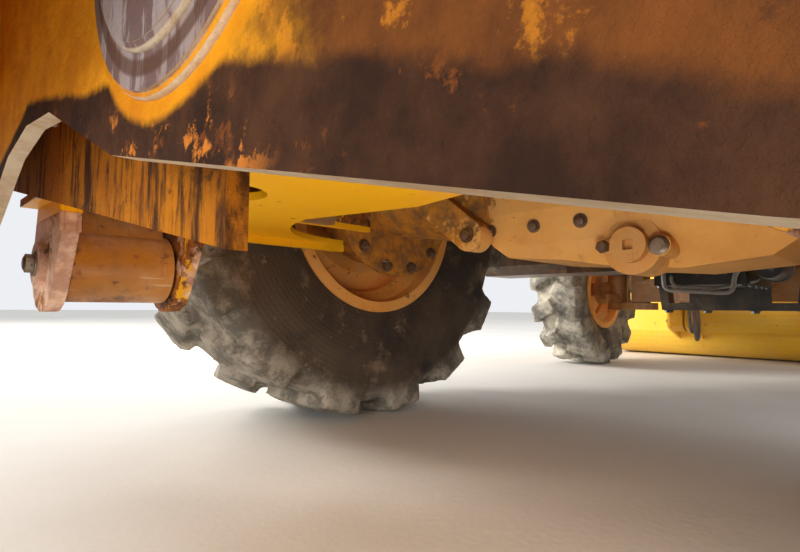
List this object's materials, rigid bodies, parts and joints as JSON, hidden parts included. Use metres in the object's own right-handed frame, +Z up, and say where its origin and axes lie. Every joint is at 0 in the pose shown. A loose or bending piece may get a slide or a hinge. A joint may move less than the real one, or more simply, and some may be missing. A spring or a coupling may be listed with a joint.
{
  "type": "backhoe loader",
  "caption": "Four-wheeled construction machine with a front loader bucket, a glazed cab and a swinging rear digging arm between swing-down stabilizers.",
  "frame": {"origin": "middle of the machine's footprint box, on the ground under it", "axes": "+X forward, towards the loader bucket; +Y to the driver's left; +Z up"},
  "size_m": [6.6672, 2.3, 3.5541],
  "materials": {
    "yellow_paint": "chipped and dusty gloss",
    "worn_paint": "dusty, rusting paint",
    "black_paint": "satin",
    "chrome_rod": "polished",
    "exhaust_steel": "heat stained",
    "tyre": "dusty",
    "seat_vinyl": "grained",
    "lamp_lens": "clear",
    "glass": "clear"
  },
  "bodies": {
    "chassis": {"main_frame": "worn_paint", "rear_frame": "worn_paint", "rear_axle": "worn_paint", "front_axle": "yellow_paint", "powertrain": "black_paint", "hood": "yellow_paint", "grille": "black_paint", "exhaust": "exhaust_steel", "side_tanks": "worn_paint", "fenders": "yellow_paint", "cab_frame": "yellow_paint", "cab_roof": "yellow_paint", "cab_glass": "glass", "seat": "seat_vinyl", "controls": "black_paint", "lamps": "lamp_lens", "mirrors": "black_paint"},
    "door_left": {"door_left": "yellow_paint", "door_glass_left": "glass"},
    "door_right": {"door_right": "yellow_paint", "door_glass_right": "glass"},
    "loader_arms": {"loader_arms": "yellow_paint"},
    "lift_barrels": {"lift_barrels": "black_paint"},
    "lift_rods": {"lift_rods": "chrome_rod"},
    "tilt_levers": {"tilt_levers": "yellow_paint"},
    "tilt_links": {"tilt_links": "yellow_paint"},
    "tilt_barrels": {"tilt_barrels": "black_paint"},
    "tilt_rods": {"tilt_rods": "chrome_rod"},
    "loader_bucket": {"loader_bucket": "yellow_paint"},
    "swing_post": {"swing_post": "worn_paint"},
    "boom": {"boom": "yellow_paint"},
    "dipper": {"dipper": "yellow_paint"},
    "digging_bucket": {"digging_bucket": "yellow_paint"},
    "bucket_lever": {"bucket_lever": "yellow_paint"},
    "bucket_link": {"bucket_link": "yellow_paint"},
    "boom_barrel": {"boom_barrel": "black_paint"},
    "boom_rod": {"boom_rod": "chrome_rod"},
    "dipper_barrel": {"dipper_barrel": "black_paint"},
    "dipper_rod": {"dipper_rod": "chrome_rod"},
    "bucket_barrel": {"bucket_barrel": "black_paint"},
    "bucket_rod": {"bucket_rod": "chrome_rod"},
    "leg_left": {"leg_left": "worn_paint"},
    "leg_barrel_left": {"leg_barrel_left": "black_paint"},
    "leg_rod_left": {"leg_rod_left": "chrome_rod"},
    "knuckle_left": {"knuckle_left": "worn_paint"},
    "wheel_rear_left": {"tyre_rear_left": "tyre", "rim_rear_left": "yellow_paint"},
    "wheel_front_left": {"tyre_front_left": "tyre", "rim_front_left": "yellow_paint"},
    "leg_right": {"leg_right": "worn_paint"},
    "leg_barrel_right": {"leg_barrel_right": "black_paint"},
    "leg_rod_right": {"leg_rod_right": "chrome_rod"},
    "knuckle_right": {"knuckle_right": "worn_paint"},
    "wheel_rear_right": {"tyre_rear_right": "tyre", "rim_rear_right": "yellow_paint"},
    "wheel_front_right": {"tyre_front_right": "tyre", "rim_front_right": "yellow_paint"}
  },
  "joints": [
    {"name": "loader_lift", "type": "hinge", "parent": "chassis", "child": "loader_arms", "pos_m": [0.7551, 0, 1.55], "axis": [0, -1, 0], "range_deg": [0, 83]},
    {"name": "lift_barrel_swing", "type": "hinge", "parent": "chassis", "child": "lift_barrels", "pos_m": [0.7051, 0, 0.78], "axis": [0, -1, 0], "range_deg": [-0.01, 47.68]},
    {"name": "lift_rod_slide", "type": "slide", "parent": "lift_barrels", "child": "lift_rods", "axis": [0.9138, 0, 0.4061], "range_m": [-0.00001, 0.66791]},
    {"name": "loader_tilt", "type": "hinge", "parent": "loader_arms", "child": "loader_bucket", "pos_m": [2.3851, 0, 0.27], "axis": [0, 1, 0], "range_deg": [-40, 125]},
    {"name": "tilt_lever_turn", "type": "hinge", "parent": "loader_arms", "child": "tilt_levers", "pos_m": [1.8751, 0, 1.11], "axis": [0, 1, 0], "range_deg": [-40.01, 125.01]},
    {"name": "tilt_link_turn", "type": "hinge", "parent": "tilt_levers", "child": "tilt_links", "pos_m": [1.9331, 0, 1.44], "axis": [0, 1, 0], "range_deg": [-125.01, 40.01]},
    {"name": "tilt_barrel_swing", "type": "hinge", "parent": "loader_arms", "child": "tilt_barrels", "pos_m": [1.0151, 0, 1.44], "axis": [0, -1, 0], "range_deg": [-4.71, 1.51]},
    {"name": "tilt_rod_slide", "type": "slide", "parent": "tilt_barrels", "child": "tilt_rods", "axis": [0.9848, 0, -0.1736], "range_m": [-0.11244, 0.35135]},
    {"name": "arm_swing", "type": "hinge", "parent": "chassis", "child": "swing_post", "pos_m": [-1.9649, 0, 0.85], "axis": [0, 0, 1], "range_deg": [-80, 80]},
    {"name": "boom_lift", "type": "hinge", "parent": "swing_post", "child": "boom", "pos_m": [-2.2449, 0, 0.85], "axis": [0, -1, 0], "range_deg": [0, 140]},
    {"name": "boom_barrel_swing", "type": "hinge", "parent": "swing_post", "child": "boom_barrel", "pos_m": [-2.0749, 0, 1.11], "axis": [0, -1, 0], "range_deg": [-0.01, 136.71]},
    {"name": "boom_rod_slide", "type": "slide", "parent": "boom_barrel", "child": "boom_rod", "axis": [0.0864, 0, 0.9963], "range_m": [-0.00001, 0.58024]},
    {"name": "dipper_turn", "type": "hinge", "parent": "boom", "child": "dipper", "pos_m": [-2.2049, 0, 3.2], "axis": [0, 1, 0], "range_deg": [0, 110]},
    {"name": "dipper_barrel_swing", "type": "hinge", "parent": "boom", "child": "dipper_barrel", "pos_m": [-1.9149, 0, 2.26], "axis": [0, -1, 0], "range_deg": [-5.15, 0.01]},
    {"name": "dipper_rod_slide", "type": "slide", "parent": "dipper_barrel", "child": "dipper_rod", "axis": [-0.1403, 0, 0.9901], "range_m": [-0.53377, 0.00001]},
    {"name": "bucket_curl", "type": "hinge", "parent": "dipper", "child": "digging_bucket", "pos_m": [-3.09394, 0, 1.93031], "axis": [0, 1, 0], "range_deg": [0, 165]},
    {"name": "bucket_lever_turn", "type": "hinge", "parent": "dipper", "child": "bucket_lever", "pos_m": [-2.88746, 0, 2.22521], "axis": [0, 1, 0], "range_deg": [-0.01, 81.61]},
    {"name": "bucket_link_turn", "type": "hinge", "parent": "digging_bucket", "child": "bucket_link", "pos_m": [-3.20382, 0, 1.69467], "axis": [0, 1, 0], "range_deg": [-155.3, 0.01]},
    {"name": "curl_barrel_swing", "type": "hinge", "parent": "dipper", "child": "bucket_barrel", "pos_m": [-2.51867, 0, 3.18776], "axis": [0, -1, 0], "range_deg": [-7.7, 0.01]},
    {"name": "curl_rod_slide", "type": "slide", "parent": "bucket_barrel", "child": "bucket_rod", "axis": [-0.5805, 0, -0.8143], "range_m": [-0.53121, 0.00001]},
    {"name": "stabilizer_left", "type": "hinge", "parent": "chassis", "child": "leg_left", "pos_m": [-1.3949, 0.5, 0.425], "axis": [-1, 0, 0], "range_deg": [0, 89]},
    {"name": "leg_left_barrel_swing", "type": "hinge", "parent": "chassis", "child": "leg_barrel_left", "pos_m": [-1.3949, 0.25, 1.45], "axis": [1, 0, 0], "range_deg": [-0.01, 7.96]},
    {"name": "leg_left_rod_slide", "type": "slide", "parent": "leg_barrel_left", "child": "leg_rod_left", "axis": [0, 0.3852, -0.9229], "range_m": [-0.00001, 0.49895]},
    {"name": "stabilizer_right", "type": "hinge", "parent": "chassis", "child": "leg_right", "pos_m": [-1.3949, -0.7, 0.425], "axis": [1, 0, 0], "range_deg": [0, 89]},
    {"name": "leg_right_barrel_swing", "type": "hinge", "parent": "chassis", "child": "leg_barrel_right", "pos_m": [-1.3949, -0.45, 1.45], "axis": [-1, 0, 0], "range_deg": [-0.01, 7.96]},
    {"name": "leg_right_rod_slide", "type": "slide", "parent": "leg_barrel_right", "child": "leg_rod_right", "axis": [0, -0.3852, -0.9229], "range_m": [-0.00001, 0.49895]},
    {"name": "door_left_swing", "type": "hinge", "parent": "chassis", "child": "door_left", "pos_m": [0.4291, 0.734, 1.9], "axis": [0, 0, -1], "range_deg": [0, 80]},
    {"name": "door_right_swing", "type": "hinge", "parent": "chassis", "child": "door_right", "pos_m": [0.4291, -0.734, 1.9], "axis": [0, 0, 1], "range_deg": [0, 80]},
    {"name": "steering", "type": "hinge", "parent": "chassis", "child": "knuckle_left", "pos_m": [1.6251, 0.72, 0.48], "axis": [0, 0, 1], "range_deg": [-32, 32]},
    {"name": "steering_right", "type": "hinge", "parent": "chassis", "child": "knuckle_right", "pos_m": [1.6251, -0.72, 0.48], "axis": [0, 0, 1], "range_deg": [-32.01, 32.01]},
    {"name": "wheel_rear_left_spin", "type": "hinge", "parent": "chassis", "child": "wheel_rear_left", "pos_m": [-0.5449, 0.83, 0.69], "axis": [0, 1, 0], "continuous": true},
    {"name": "wheel_front_left_spin", "type": "hinge", "parent": "knuckle_left", "child": "wheel_front_left", "pos_m": [1.6251, 0.93, 0.48], "axis": [0, 1, 0], "continuous": true},
    {"name": "wheel_rear_right_spin", "type": "hinge", "parent": "chassis", "child": "wheel_rear_right", "pos_m": [-0.5449, -0.83, 0.69], "axis": [0, 1, 0], "continuous": true},
    {"name": "wheel_front_right_spin", "type": "hinge", "parent": "knuckle_right", "child": "wheel_front_right", "pos_m": [1.6251, -0.93, 0.48], "axis": [0, 1, 0], "continuous": true}
  ],
  "couplings": [
    {"joint": "lift_barrel_swing", "follows": "loader_lift", "ratio": 0.57433},
    {"joint": "lift_rod_slide", "follows": "loader_lift", "m_per_rad": 0.46105},
    {"joint": "tilt_lever_turn", "follows": "loader_tilt", "ratio": 1},
    {"joint": "tilt_link_turn", "follows": "loader_tilt", "ratio": -1},
    {"joint": "tilt_barrel_swing", "follows": "loader_tilt", "ratio": -0.037624},
    {"joint": "tilt_rod_slide", "follows": "loader_tilt", "m_per_rad": 0.16104},
    {"joint": "boom_barrel_swing", "follows": "boom_lift", "ratio": 0.97639},
    {"joint": "boom_rod_slide", "follows": "boom_lift", "m_per_rad": 0.23746},
    {"joint": "dipper_barrel_swing", "follows": "dipper_turn", "ratio": -0.046715},
    {"joint": "dipper_rod_slide", "follows": "dipper_turn", "m_per_rad": -0.27802},
    {"joint": "bucket_lever_turn", "follows": "bucket_curl", "ratio": 0.49453},
    {"joint": "bucket_link_turn", "follows": "bucket_curl", "ratio": -0.94115},
    {"joint": "curl_barrel_swing", "follows": "bucket_curl", "ratio": -0.046616},
    {"joint": "curl_rod_slide", "follows": "bucket_curl", "m_per_rad": -0.18446},
    {"joint": "leg_left_barrel_swing", "follows": "stabilizer_left", "ratio": 0.089363},
    {"joint": "leg_left_rod_slide", "follows": "stabilizer_left", "m_per_rad": 0.3212},
    {"joint": "leg_right_barrel_swing", "follows": "stabilizer_right", "ratio": 0.089363},
    {"joint": "leg_right_rod_slide", "follows": "stabilizer_right", "m_per_rad": 0.3212},
    {"joint": "steering_right", "follows": "steering", "ratio": 1}
  ]
}
